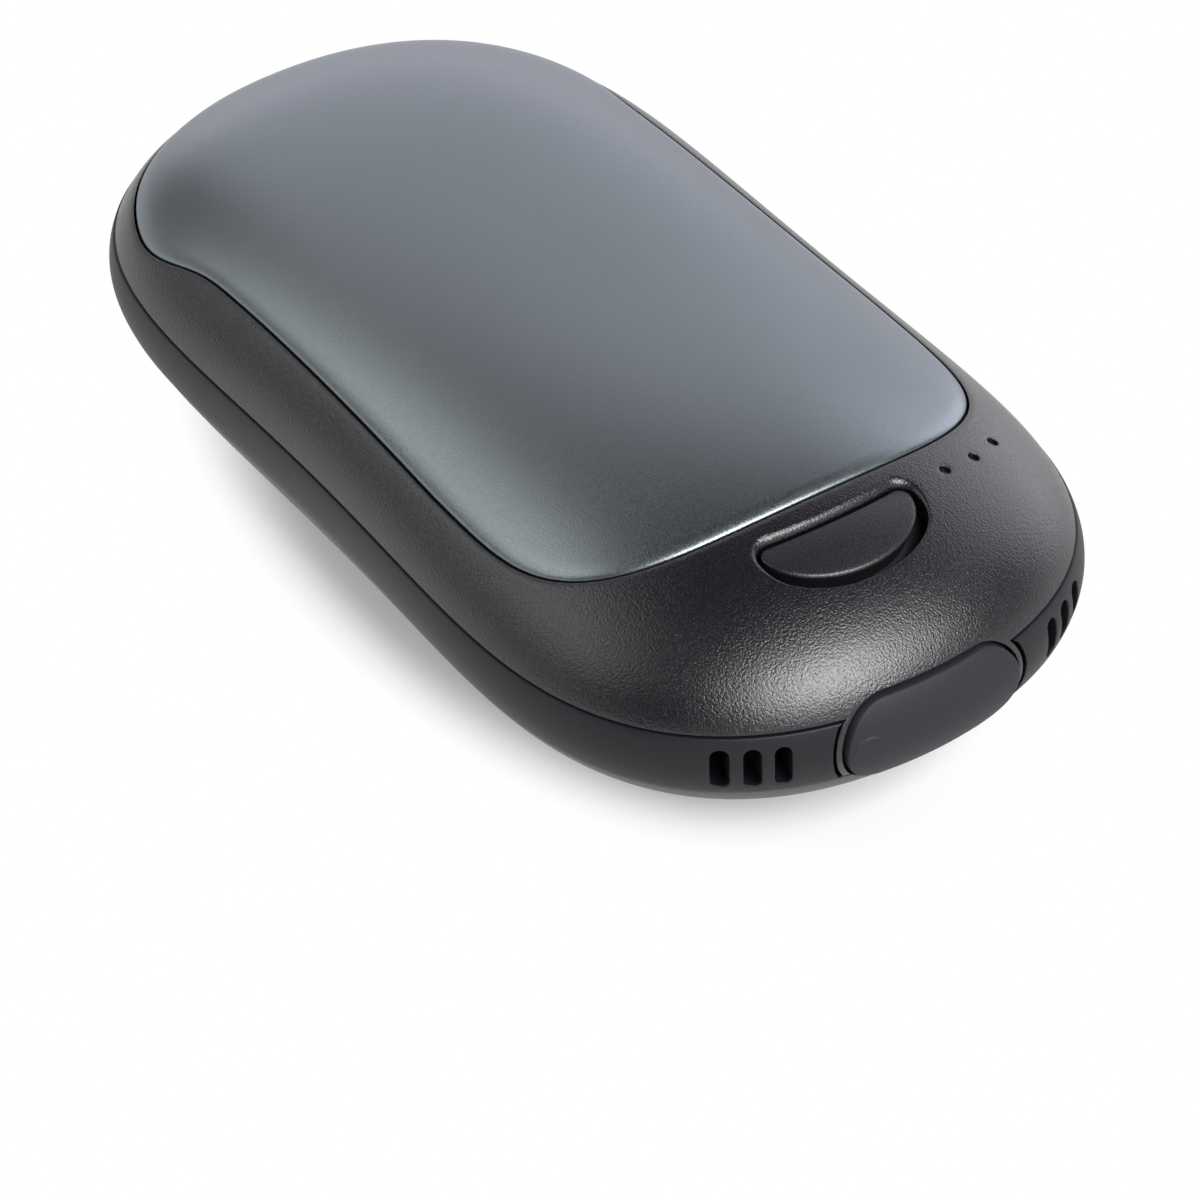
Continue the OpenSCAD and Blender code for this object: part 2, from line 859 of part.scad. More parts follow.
top_plate();
upper_shell();
mid_band();
lower_shell();
bottom_plate();
port_bezel();
port_cover();
cover_anchor();
power_button();
switch_plunger();
switch_body();
light_guide();
indicator_leds();
circuit_board();
board_parts();
board_screws();
usb_shell();
usb_tongue();
cell_left();
cell_right();
cell_cradle();
front_strip();
back_strip();
upper_heater();
lower_heater();
upper_thermistor();
lower_thermistor();
upper_foam();
lower_foam();
case_screws();
battery_leads();
heater_leads();
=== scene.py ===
# Rechargeable hand warmer: a pebble-shaped case with a metal heat plate on each face
import json
import math

import bmesh
import bpy
import numpy as np
from mathutils import Matrix, Vector
from mathutils.geometry import delaunay_2d_cdt


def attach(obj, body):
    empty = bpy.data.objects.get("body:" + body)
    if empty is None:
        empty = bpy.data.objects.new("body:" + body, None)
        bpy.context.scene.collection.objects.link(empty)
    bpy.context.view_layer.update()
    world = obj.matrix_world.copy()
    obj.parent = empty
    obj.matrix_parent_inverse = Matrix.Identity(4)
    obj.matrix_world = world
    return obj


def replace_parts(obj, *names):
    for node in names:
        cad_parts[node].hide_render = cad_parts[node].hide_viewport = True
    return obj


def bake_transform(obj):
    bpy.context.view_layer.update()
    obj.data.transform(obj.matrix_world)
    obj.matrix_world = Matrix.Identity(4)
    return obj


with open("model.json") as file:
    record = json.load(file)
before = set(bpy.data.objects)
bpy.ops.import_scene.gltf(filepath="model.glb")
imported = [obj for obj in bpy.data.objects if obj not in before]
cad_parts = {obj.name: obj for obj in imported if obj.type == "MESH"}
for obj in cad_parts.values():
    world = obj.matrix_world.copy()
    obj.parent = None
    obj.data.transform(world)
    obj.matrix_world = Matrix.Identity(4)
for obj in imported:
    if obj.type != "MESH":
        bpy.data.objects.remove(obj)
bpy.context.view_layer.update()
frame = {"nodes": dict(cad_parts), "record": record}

# The pieces are made in millimetres round the middle of the case, with z = 0 in the middle of
# the band, and their meshes are then put into the frame in metres.
MM = 0.001
SHIFT_X, BASE_Z = -0.2, 13.0

# Pebble: its two heights, the slice that the lower plate loses to rest on, the power and the
# waist of its plan, and how much fuller than an ellipse its cross-section is beside the waist
HALF_L, BODY_W = 52.0, 53.0
TOP_H, BOTTOM_H = 13.5, 13.2
REST_CUT = 0.2
PLAN_POWER = 2.12
WAIST_DEPTH = 0.086
SHOULDER, SHOULDER_X, SHOULDER_REACH = 0.25, -4.0, 32.0
WALL = 2.1

# The shells lie SHELL_SINK below the plates and the band, and SEAM_GAP away from the band,
# whose edges rise from its sides to its ends. BAND_END_GAP lies beside the port.
SHELL_SINK = 0.1
SEAM_GAP = 0.06
BAND_SIDE_Z, BAND_END_Z = 2.4, 2.9
BAND_END_GAP = 0.3
EDGE_R = 0.1

# Heat plate: thickness, outline in the plan, gap, the shell's soft edge (RIM), the plate's own
# rolled edge (LIP), and the pocket below it
PLATE_T = 1.0
PLATE_FRONT, PLATE_BOW = 35.4, 0.006
PLATE_SIDE_FRONT, PLATE_SIDE_WAIST, PLATE_WAIST_X = 21.9, 21.6, -8.0
PLATE_CORNER_X, PLATE_CORNER_POWER = 16.0, 4.4
FLARE_START_X, FLARE_END_X = -22.5, -36.0
PLATE_EDGE_Z = 5.7
PLATE_GAP = 0.22
PLATE_RIM, PLATE_RIM_DROP = 0.6, 0.2
PLATE_LIP, PLATE_LIP_DROP = 1.2, 0.38
POCKET = 1.3

# Rubber cover: size, curved face, sealing rib, plug, and the round mark over the plug
COVER_W, COVER_H, COVER_T = 16.6, 7.8, 1.45
COVER_GAP, COVER_EDGE_R = 0.25, 0.14
COVER_PROUD = 0.4
COVER_FRONT = HALF_L + COVER_PROUD
COVER_PLAN_R, COVER_SIDE_R = 35.0, 6.5
RIM = 0.75
RIB_Y, RIB_W, RIB_R, RIB_WALL, RIB_TIP_X, RIB_SOFT = 1.525, 11.35, 3.05, 0.8, 49.4, 0.2
ANCHOR_Y, ANCHOR_R, ANCHOR_TIP_X = -6.4, 0.95, 45.5
MARK_Y, MARK_Z, MARK_R, MARK_RISE, MARK_SLOPE = -6.5, -0.25, 1.62, 0.11, 0.16

# X of each ring of the plug, and how much wider than ANCHOR_R it is
PLUG_RINGS = ((46.8, 0), (46.7, 0.45), (46.5, 0.5), (ANCHOR_TIP_X + 0.15, 0),
              (ANCHOR_TIP_X, -0.25))

VENT_W, VENT_H, VENT_PITCH, VENT_FIRST_Y, VENT_EDGE_R = 1.25, 3.7, 2.15, 13.05, 0.14

# Button: outline in the plan, and its face, which falls away from the straight side's middle
BUTTON_FLAT_X, BUTTON_ROUND_X, BUTTON_Y = 38.05, 42.9, -0.1
BUTTON_HALF_W, BUTTON_CORNER_R, BUTTON_BACK_R = 7.1, 0.9, 33.0
BUTTON_BROW_Z = 10.83
BUTTON_SLOPE, BUTTON_BOW_X, BUTTON_BOW_Y = 0.06, 0.0375, 0.009

# Sizes at the button's straight side, and what is added to them at its round side (MORE). The
# change begins ROUND_START behind the straight side and takes ROUND_REACH.
ROUND_START, ROUND_REACH = 0.4, 3.5
BUTTON_GAP, BUTTON_GAP_MORE = 0.25, 0.75
BUTTON_RIM, BUTTON_RIM_MORE = 0.62, -0.42
BUTTON_RIM_DROP, BUTTON_RIM_DROP_MORE = 0.72, -0.54
BUTTON_EDGE_R, BUTTON_EDGE_R_MORE = 0.14, 0.1
BUTTON_UNDERCUT = 0.6

# The button's hidden lip below the shell, and the stem over its switch
LIP_REACH, LIP_GAP, LIP_T = 1.35, 0.2, 0.9
STEM_X, STEM_R, STEM_TOP_Z, STEM_LOW_Z, STEM_EDGE_R = 40.0, 1.2, 8.0, 3.02, 0.15

# The three light holes lie on an arc. Its angles are in degrees.
LIGHT_ARC_X, LIGHT_ARC_Y, LIGHT_ARC_R = 23.1, 9.7, 14.4
LIGHT_START, LIGHT_STEP, LIGHT_R, LIGHT_EDGE_R = 5.8, 14.2, 0.45, 0.1

# Distances between the points inside a face
SHELL_STEP, INNER_STEP, HIDDEN_STEP = 0.62, 1.3, 1.6
DETAIL_STEP, DETAIL_REACH = 0.35, 1.2
PLATE_STEP = 0.75
BAND_STEP, BAND_INNER_STEP = 0.8, 1.4
COVER_STEP, COVER_BACK_STEP, RIB_STEP = 0.42, 0.6, 0.7
MARK_STEP, MARK_REACH = 0.07, 0.3
BUTTON_STEP, LIP_STEP = 0.45, 0.9

# Counts of points along an outline, of the finer samples that it is measured on (FINE), and of
# the rounds that smooth the plate's
PLATE_COUNT, PLATE_ROUNDS = 420, 12
PLATE_FRONT_FINE, PLATE_SIDE_FINE, PLATE_FLARE_FINE = 200, 80, 60
SEAM_COUNT, SEAM_FINE, BUTTON_FINE = 420, 4001, 2001
STRIP_COUNT, STRIP_FOOT_COUNT = 26, 5
NOTCH_COUNT, NOTCH_LOW_COUNT, NOTCH_TOP_COUNT = 44, 20, 20
BAND_END_COUNT = 30
BUTTON_ARC_COUNT, BUTTON_FLAT_COUNT, BUTTON_CORNER_COUNT = 90, 60, 14
LIGHT_COUNT, MARK_COUNT, ROD_COUNT = 28, 90, 32

# Row distance of a grid of triangles, how far its points stay clear of an edge, both in parts
# of their distance, and the angle in degrees from which an edge is shaded sharp
HEX_ROW = 0.866
CLEAR_OF_EDGE = 0.55
SHARP_ANGLE = 40


def waist(x):
    """Share of the width that the drawn-in long sides leave."""
    return 1 - WAIST_DEPTH * np.cos(math.pi / 2 * np.clip(x / HALF_L, -1, 1)) ** 2


# Half width of the plan without its waist, for which the case is BODY_W wide
ALONG = np.linspace(0, 1, 51)
FULLNESS = np.max(waist(ALONG * HALF_L) * (1 - ALONG ** (2 * PLAN_POWER)) ** (1 / PLAN_POWER))
HALF_W = BODY_W / 2 / FULLNESS


def shoulder(x):
    """Power of the cross-section: 2 at the ends and more beside the waist."""
    part = np.clip((x - SHOULDER_X) / SHOULDER_REACH, -1, 1)
    return 2 + SHOULDER * np.cos(math.pi / 2 * part) ** 2


def other_side(part, power):
    """The other coordinate of a point on the section's unit curve."""
    return np.maximum(0, 1 - np.abs(part) ** power) ** (1 / power)


class Skin:
    """One layer of the pebble, inset below its surface.

    Its flat map is polar: the crown is its middle, and the band lies at the plan's radius."""

    def __init__(self, inset, under=False):
        self.a = HALF_L - inset
        self.b = HALF_W - inset
        self.near = (BOTTOM_H if under else TOP_H) - inset
        self.far = (TOP_H if under else BOTTOM_H) - inset
        self.sign = -1 if under else 1

    def radius(self, across):
        """Radius of the plan in each direction."""
        unit = across / np.linalg.norm(across, axis=1, keepdims=True)
        ka = np.abs(unit[:, 0] / self.a) ** (2 * PLAN_POWER)
        kb = np.abs(unit[:, 1] / self.b) ** PLAN_POWER
        return (2 / (kb + np.sqrt(kb * kb + 4 * ka))) ** (1 / PLAN_POWER)

    def height(self, z):
        return np.where(z >= 0, self.near, self.far)

    def level(self, x, y):
        """0 in the middle of the plan without its waist and 1 on its rim."""
        return np.abs(x / self.a) ** (2 * PLAN_POWER) + np.abs(y / self.b) ** PLAN_POWER

    def front_x(self, y):
        """X of the front end's rim."""
        return self.a * (1 - np.abs(y / self.b) ** PLAN_POWER) ** (1 / (2 * PLAN_POWER))

    def from_plan(self, xy):
        """Flat points from x and y of points seen from above."""
        x, y = xy[:, 0], xy[:, 1] / waist(xy[:, 0])
        c = np.clip(self.level(x, y), 1e-12, 1) ** (1 / PLAN_POWER)
        rim = np.column_stack([x / np.sqrt(c), y / c])
        return rim * (2 / math.pi * np.arcsin(c))[:, None]

    def from_front(self, yz):
        """Flat points from y and z of points round the front end."""
        tilt = np.arcsin(yz[:, 1] / self.height(yz[:, 1]))
        y = yz[:, 0] / np.cos(tilt)
        return np.column_stack([self.front_x(y), y]) * (1 - 2 / math.pi * tilt)[:, None]

    def from_rim(self, across, z):
        """Flat points from a direction in the plan and a height."""
        unit = across / np.linalg.norm(across, axis=1, keepdims=True)
        rim = self.radius(across)
        c = other_side(z / self.height(z), 2)
        for _ in range(3):
            c = other_side(z / self.height(z), shoulder(unit[:, 0] * rim * np.sqrt(c)))
        turn = 2 / math.pi * np.arcsin(c)
        return unit * (rim * np.where(z >= 0, turn, 2 - turn))[:, None]

    def place(self, flat):
        """The points of the skin that flat points stand for."""
        size = np.linalg.norm(flat, axis=1)
        safe = np.where(size[:, None] > 1e-9, flat, [1.0, 0.0])
        rim = self.radius(safe)
        rise = np.clip(size / rim, 0, 2)
        c = np.sin(rise * math.pi / 2)
        unit = safe / np.linalg.norm(safe, axis=1, keepdims=True)
        x = unit[:, 0] * rim * np.sqrt(c)
        y = unit[:, 1] * rim * c * waist(x)
        z = other_side(c, shoulder(x)) * np.where(rise <= 1, self.near, -self.far)
        return np.column_stack([x, y, self.sign * z])

    def over(self, xy):
        """The point of the skin over each point of the plan."""
        level = self.level(xy[:, 0], xy[:, 1] / waist(xy[:, 0]))
        z = self.near * other_side(level ** (1 / PLAN_POWER), shoulder(xy[:, 0]))
        return np.column_stack([xy, self.sign * z])


class Outline:
    """A closed outline with its outward directions, so that it can be grown."""

    def __init__(self, points, out=None):
        self.points = np.asarray(points, float)
        if out is None:
            along = np.roll(self.points, -1, 0) - np.roll(self.points, 1, 0)
            out = np.column_stack([along[:, 1], -along[:, 0]])
            out /= np.linalg.norm(out, axis=1, keepdims=True)
            if area(self.points) < 0:
                out = -out
        self.out = out

    def at(self, grow):
        return self.points + self.out * np.reshape(grow, (-1, 1))


def area(points):
    x, y = points[:, 0], points[:, 1]
    return 0.5 * np.sum(x * np.roll(y, -1) - y * np.roll(x, -1))


def run_of(points):
    """Length of the line up to each of its points."""
    return np.concatenate([[0], np.cumsum(np.linalg.norm(np.diff(points, axis=0), axis=1))])


def at_lengths(points, run, want):
    return np.column_stack([np.interp(want, run, points[:, k]) for k in range(points.shape[1])])


def even(points, count):
    """Points spread evenly along a closed outline."""
    closed = np.vstack([points, points[:1]])
    run = run_of(closed)
    return at_lengths(closed, run, np.arange(count) / count * run[-1])


def open_even(points, count):
    """Points spread evenly along an open line, with both ends."""
    run = run_of(points)
    return at_lengths(points, run, np.linspace(0, run[-1], count))


def relaxed(points, rounds):
    for _ in range(rounds):
        points = 0.5 * points + 0.25 * (np.roll(points, 1, 0) + np.roll(points, -1, 0))
    return points


def smooth(s):
    s = np.clip(s, 0, 1)
    return s * s * (3 - 2 * s)


def circle(x, y, r, count):
    turn = np.arange(count) / count * 2 * math.pi
    out = np.column_stack([np.cos(turn), np.sin(turn)])
    return Outline(np.array([x, y]) + r * out, out)


def stadium(w, r, y=0.0, corner=14, side=24):
    """Outline in y and z, as wide as w, whose ends are half circles."""
    reach = w / 2 - r
    points, out = [], []
    for sign in (1, -1):
        for turn in np.linspace(-math.pi / 2, math.pi / 2, corner * 2 + 1):
            way = sign * np.array([math.cos(turn), math.sin(turn)])
            points.append([y + sign * reach + r * way[0], r * way[1]])
            out.append(way)
        for s in np.arange(1, side) / side:
            points.append([y + sign * reach * (1 - 2 * s), sign * r])
            out.append([0, sign])
    return Outline(points, np.array(out))


class Form:
    """A mesh in the making."""

    def __init__(self):
        self.points = []
        self.faces = []

    def add(self, points):
        start = len(self.points)
        self.points.extend(map(tuple, np.asarray(points, float)))
        return list(range(start, len(self.points)))

    def bridge(self, one, two):
        for i in range(len(one)):
            j = (i + 1) % len(one)
            self.faces.append((one[i], one[j], two[j], two[i]))

    def walls(self, first, rings):
        """Joins ring after ring to the first one and returns the last."""
        for ring in rings:
            found = self.add(ring)
            self.bridge(first, found)
            first = found
        return first

    def edge(self, start, corner, wall, rings, steps=4):
        """Rounds the corner from start to wall and goes on to the rings.

        It returns the first ring and the last."""
        first = self.add(start)
        return first, self.walls(first, fillet(start, corner, wall, steps) + rings)

    def fill(self, rims, place, spacing, fine=()):
        """Fills the flat region inside the first rim and outside the others with triangles.

        A rim is (flat outline, ids of its points). Each entry of fine is (points, reach,
        spacing): closer points round a detail."""
        loops = [loop for loop, _ in rims]
        inner = grid_points(loops, spacing, fine)
        flat = np.vstack(loops + [inner])
        known = [i for _, ids in rims for i in ids]
        known += self.add(place(inner)) if len(inner) else []
        edges, start = [], 0
        for loop in loops:
            n = len(loop)
            edges += [(start + i, start + (i + 1) % n) for i in range(n)]
            start += n
        made = delaunay_2d_cdt([Vector(p) for p in flat], edges, [], 1, 1e-7, True)
        found = [known[origin[0]] if origin else None for origin in made[3]]
        corners = np.array([made[0][k][:] for face in made[2] for k in face]).reshape(-1, 3, 2)
        keep = between(corners.mean(axis=1), loops)
        for face, good in zip(made[2], keep):
            if good and None not in [found[k] for k in face]:
                self.faces.append(tuple(found[k] for k in face))

    def cap(self, ids):
        self.faces.append(tuple(ids))

    def build(self, name, material, body="root"):
        """Makes the Blender object: welded, turned outward, smooth-shaded and in the frame."""
        mesh = bpy.data.meshes.new(name)
        at = np.array(self.points) + np.array([SHIFT_X, 0, BASE_Z])
        mesh.from_pydata([tuple(p) for p in at * MM], [], self.faces)
        bm = bmesh.new()
        bm.from_mesh(mesh)
        bmesh.ops.remove_doubles(bm, verts=bm.verts, dist=1e-8)
        bmesh.ops.delete(bm, geom=[v for v in bm.verts if not v.link_faces], context="VERTS")
        bmesh.ops.recalc_face_normals(bm, faces=bm.faces)
        bm.to_mesh(mesh)
        bm.free()
        mesh.shade_smooth()
        mesh.set_sharp_from_angle(angle=math.radians(SHARP_ANGLE))
        piece = bpy.data.objects.new(name, mesh)
        bpy.context.scene.collection.objects.link(piece)
        mesh.materials.append(material)
        if body:
            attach(piece, body)
        return piece


def inside(points, loop):
    """Which points lie inside a closed outline."""
    found = np.zeros(len(points), bool)
    x, y = points[:, 0], points[:, 1]
    x0, y0 = loop[:, 0], loop[:, 1]
    x1, y1 = np.roll(x0, -1), np.roll(y0, -1)
    for k in range(len(loop)):
        if y0[k] == y1[k]:
            continue
        spans = (y0[k] > y) != (y1[k] > y)
        found ^= spans & (x < (x1[k] - x0[k]) * (y - y0[k]) / (y1[k] - y0[k]) + x0[k])
    return found


def between(points, loops):
    """Which points lie inside the first outline and outside the others."""
    good = inside(points, loops[0])
    for hole in loops[1:]:
        good &= ~inside(points, hole)
    return good


def nearest(points, others, batch=200):
    """Distance of each point from the nearest of the others."""
    best = np.full(len(points), np.inf)
    for start in range(0, len(others), batch):
        part = others[start:start + batch]
        gap = np.linalg.norm(points[:, None, :] - part[None, :, :], axis=2).min(axis=1)
        best = np.minimum(best, gap)
    return best


def hex_grid(low, high, spacing):
    rows = np.arange(low[1], high[1], spacing * HEX_ROW)
    found = []
    for k, y in enumerate(rows):
        xs = np.arange(low[0] + (k % 2) * spacing / 2, high[0], spacing)
        found.append(np.column_stack([xs, np.full(len(xs), y)]))
    return np.vstack(found)


def grid_points(loops, spacing, fine):
    """Points between the outlines, closer together round the fine details."""
    edge = np.vstack(loops)
    low, high = loops[0].min(axis=0), loops[0].max(axis=0)
    points = hex_grid(low, high, spacing)
    for centre, reach, _ in fine:
        points = points[nearest(points, centre) > reach]
    groups = [(points, spacing)]
    for centre, reach, close in fine:
        near = hex_grid(centre.min(axis=0) - reach, centre.max(axis=0) + reach, close)
        groups.append((near[nearest(near, centre) <= reach], close))
    kept = []
    for points, gap in groups:
        points = points[between(points, loops)]
        kept.append(points[nearest(points, edge) > CLEAR_OF_EDGE * gap])
    return np.vstack(kept)


def fillet(start, corner, end, steps):
    """Rings that round a corner, from start on the skin to end on the wall."""
    one, two = start - corner, end - corner
    turns = np.linspace(0, math.pi / 2, steps + 1)[1:]
    return [corner + one + two - two * math.cos(t) - one * math.sin(t) for t in turns]


def toward(start, end, distance):
    way = end - start
    return start + way / np.linalg.norm(way, axis=1, keepdims=True) * distance


def down(points, depth, under=False):
    """Points moved into the case, square to its resting plane."""
    way = np.zeros_like(points)
    way[:, 2] = np.reshape(depth, -1) * (1 if under else -1)
    return points + way


def seam_z(x):
    return BAND_SIDE_Z + (BAND_END_Z - BAND_SIDE_Z) * (x / HALF_L) ** 2


def reach_y(w, r, z):
    """Half width of a stadium at a height."""
    return w / 2 - r + np.sqrt(np.maximum(0, r * r - z * z))


def stadium_side(w, r, z):
    """Points of a stadium's +Y side, in y and z."""
    return np.column_stack([reach_y(w, r, z), z])


def seam_plan(skin, y, z):
    """The rim from y, at height z of the port's +Y side, round the back to its -Y side."""
    rim_y = y / math.cos(math.asin(z / skin.near))
    start = math.atan2(rim_y, skin.a)
    turns = np.linspace(start, 2 * math.pi - start, SEAM_FINE)
    plan = np.column_stack([np.cos(turns), np.sin(turns)])
    plan *= Skin(0).radius(plan)[:, None]
    return open_even(plan, SEAM_COUNT)


def shell_seam(skin, r, y):
    """A shell's edge along the band, from y at the port on, drawn back by r."""
    plan = seam_plan(skin, y, BAND_END_Z + SEAM_GAP + r)
    return skin.from_rim(plan, seam_z(plan[:, 0]) + (SEAM_GAP + r))


def notch(r):
    """Width and end radius of the shells' notch for the cover, grown by r."""
    return COVER_W + 2 * COVER_GAP + 2 * r, COVER_H / 2 + COVER_GAP + r


def notch_arc(r, z_start, count):
    """The notch's +Y end, from height z_start up to its top."""
    w, end_r = notch(r)
    turn = np.linspace(math.asin(z_start / end_r), math.pi / 2, count)
    return np.column_stack([w / 2 - end_r + end_r * np.cos(turn), end_r * np.sin(turn)])


def across_port(skin, half):
    """Flat points of the +Y half, the notch's straight top and the other half."""
    mirrored = half[::-1] * [-1, 1]
    top = open_even(np.array([half[-1], mirrored[0]]), NOTCH_TOP_COUNT)[1:-1]
    return skin.from_front(np.vstack([half, top, mirrored]))


def upper_edge(skin, r):
    """Lower edge of the upper shell, with the two strips beside the cover, drawn back by r."""
    z_top = BAND_END_Z + SEAM_GAP + r
    z_low = -(BAND_END_Z - 2 * SEAM_GAP - r)
    outer_w, outer_r = COVER_W + 2 * RIM - 2 * r, COVER_H / 2 + RIM - r
    inner_w, inner_r = notch(r)
    seam = shell_seam(skin, r, float(reach_y(outer_w, outer_r, z_top)))
    outer = stadium_side(outer_w, outer_r, np.linspace(z_top, z_low, STRIP_COUNT))
    foot_end = [float(reach_y(inner_w, inner_r, z_low)), z_low]
    foot = open_even(np.array([outer[-1], foot_end]), STRIP_FOOT_COUNT)
    half = np.vstack([outer[1:], foot[1:-1], notch_arc(r, z_low, NOTCH_COUNT)])
    return np.vstack([seam, across_port(skin, half)[::-1]])


def lower_edge(skin, r):
    """Edge of the lower shell at the band, in its own upright map, with the cover's notch."""
    z_top = BAND_END_Z + SEAM_GAP + r
    seam = shell_seam(skin, r, float(reach_y(*notch(r), z_top)))
    half = notch_arc(r, z_top, NOTCH_LOW_COUNT)[1:]
    return np.vstack([seam, across_port(skin, half)[::-1]])


def band_edge(skin, r):
    """The band's whole edge: upper seam, one end at the port, lower seam, the other end."""
    z_end = BAND_END_Z - SEAM_GAP - r
    gap_w = COVER_W + 2 * RIM + 2 * BAND_END_GAP + 2 * r
    gap_r = COVER_H / 2 + RIM + BAND_END_GAP + r
    plan = seam_plan(skin, float(reach_y(gap_w, gap_r, z_end)), z_end)
    upper = skin.from_rim(plan, seam_z(plan[:, 0]) + (-SEAM_GAP - r))
    lower = skin.from_rim(plan, -(seam_z(plan[:, 0]) - SEAM_GAP - r))
    end = stadium_side(gap_w, gap_r, np.linspace(z_end, -z_end, BAND_END_COUNT)[1:-1])
    plus = skin.from_front(end)
    minus = skin.from_front(end * [-1, 1])
    return np.vstack([upper, minus, lower[::-1], plus[::-1]])


def plate_outline():
    """Outline of a heat plate in the plan: a broad front, a waist and a flared back."""
    level = (1 - (PLATE_EDGE_Z / TOP_H) ** 2) ** (PLAN_POWER / 2)

    def level_y(x):
        full = np.maximum(0, level - np.abs(x / HALF_L) ** (2 * PLAN_POWER)) ** (1 / PLAN_POWER)
        return HALF_W * waist(x) * full

    def side_y(x):
        part = (x - PLATE_WAIST_X) / (side_start - PLATE_WAIST_X)
        return PLATE_SIDE_WAIST + (PLATE_SIDE_FRONT - PLATE_SIDE_WAIST) * part ** 2

    side_start = PLATE_CORNER_X - PLATE_BOW * PLATE_SIDE_FRONT ** 2
    turn = np.linspace(0, math.pi / 2, PLATE_FRONT_FINE)
    power = 2 / PLATE_CORNER_POWER
    front_y = PLATE_SIDE_FRONT * np.sin(turn) ** power
    reach = (PLATE_FRONT - PLATE_CORNER_X) * np.cos(turn) ** power
    front = np.column_stack([PLATE_CORNER_X + reach - PLATE_BOW * front_y ** 2, front_y])
    side_x = np.linspace(side_start, FLARE_START_X, PLATE_SIDE_FINE)[1:]
    side = np.column_stack([side_x, side_y(side_x)])
    part = np.linspace(0, 1, PLATE_FLARE_FINE)[1:]
    flare_x = FLARE_START_X + (FLARE_END_X - FLARE_START_X) * part
    flare = np.column_stack([
        flare_x, side_y(flare_x) * (1 - smooth(part)) + level_y(flare_x) * smooth(part)])
    back_x = -HALF_L * level ** (1 / (2 * PLAN_POWER))
    end_x = FLARE_END_X + (back_x - FLARE_END_X) * np.sin(turn[1:-1])
    back = np.column_stack([end_x, level_y(end_x)])
    half = np.vstack([front, side, flare, back, [[back_x, 0]]])
    whole = np.vstack([half, half[-2:0:-1] * [1, -1]])
    return Outline(relaxed(even(whole, PLATE_COUNT), PLATE_ROUNDS))


def button_outline():
    """Outline of the button in the plan: a D with a slightly hollow straight side."""
    r = BUTTON_CORNER_R
    deep = BUTTON_ROUND_X - BUTTON_FLAT_X - r
    wide = BUTTON_HALF_W - r
    back_x = BUTTON_FLAT_X - BUTTON_BACK_R
    turn = np.linspace(-math.pi / 2, math.pi / 2, BUTTON_FINE)
    arc = np.column_stack([BUTTON_FLAT_X + deep * np.cos(turn), BUTTON_Y + wide * np.sin(turn)])
    keep = np.hypot(arc[:, 0] - back_x, arc[:, 1] - BUTTON_Y) > BUTTON_BACK_R + r
    arc, turn = arc[keep], turn[keep]
    arc_out = np.column_stack([np.cos(turn) / deep, np.sin(turn) / wide])
    arc_out /= np.linalg.norm(arc_out, axis=1, keepdims=True)
    top = math.atan2(arc[-1, 1] - BUTTON_Y, arc[-1, 0] - back_x)
    low = math.atan2(arc[0, 1] - BUTTON_Y, arc[0, 0] - back_x)
    sweep = np.linspace(top, low, BUTTON_FLAT_COUNT)
    flat_out = -np.column_stack([np.cos(sweep), np.sin(sweep)])
    flat = np.array([back_x, BUTTON_Y]) - (BUTTON_BACK_R + r) * flat_out
    pick = np.linspace(0, len(arc) - 1, BUTTON_ARC_COUNT).astype(int)
    arc, arc_out = arc[pick], arc_out[pick]

    def corner(point, one, two):
        a, b = math.atan2(one[1], one[0]), math.atan2(two[1], two[0])
        b += 2 * math.pi * (b < a)
        ways = np.linspace(a, b, BUTTON_CORNER_COUNT + 2)[1:-1]
        return np.tile(point, (len(ways), 1)), np.column_stack([np.cos(ways), np.sin(ways)])

    first, first_out = corner(arc[-1], arc_out[-1], flat_out[0])
    last, last_out = corner(flat[-1], flat_out[-1], arc_out[0])
    core = np.vstack([arc, first, flat, last])
    out = np.vstack([arc_out, first_out, flat_out, last_out])
    return Outline(core + r * out, out)


def round_share(points):
    """0 on the button's straight side and 1 on its round side."""
    return smooth((points[:, 0] - BUTTON_FLAT_X + ROUND_START) / ROUND_REACH)


def button_top(xy):
    """Points of the button's face, which is lower than the shell round its straight side."""
    x, y = xy[:, 0] - BUTTON_FLAT_X, xy[:, 1] - BUTTON_Y
    z = BUTTON_BROW_Z - BUTTON_SLOPE * x - BUTTON_BOW_X * x ** 2 - BUTTON_BOW_Y * y ** 2
    return np.column_stack([xy, z])


def shell_openings():
    """Openings for the button and the lights, in the plan.

    Each is (outline of its soft edge, outline of its wall, fall of the edge, steps)."""
    button = button_outline()
    share = round_share(button.points)
    gap = BUTTON_GAP + BUTTON_GAP_MORE * share
    edge = BUTTON_RIM + BUTTON_RIM_MORE * share
    fall = BUTTON_RIM_DROP + BUTTON_RIM_DROP_MORE * share
    found = [(button.at(gap + edge), button.at(gap), fall, 8)]
    for turn in np.radians(LIGHT_START + LIGHT_STEP * np.arange(3)):
        hole = circle(LIGHT_ARC_X + LIGHT_ARC_R * math.cos(turn),
                      LIGHT_ARC_Y + LIGHT_ARC_R * math.sin(turn), LIGHT_R, LIGHT_COUNT)
        fall = np.full(LIGHT_COUNT, LIGHT_EDGE_R)
        found.append((hole.at(LIGHT_EDGE_R), hole.at(0), fall, 3))
    return found


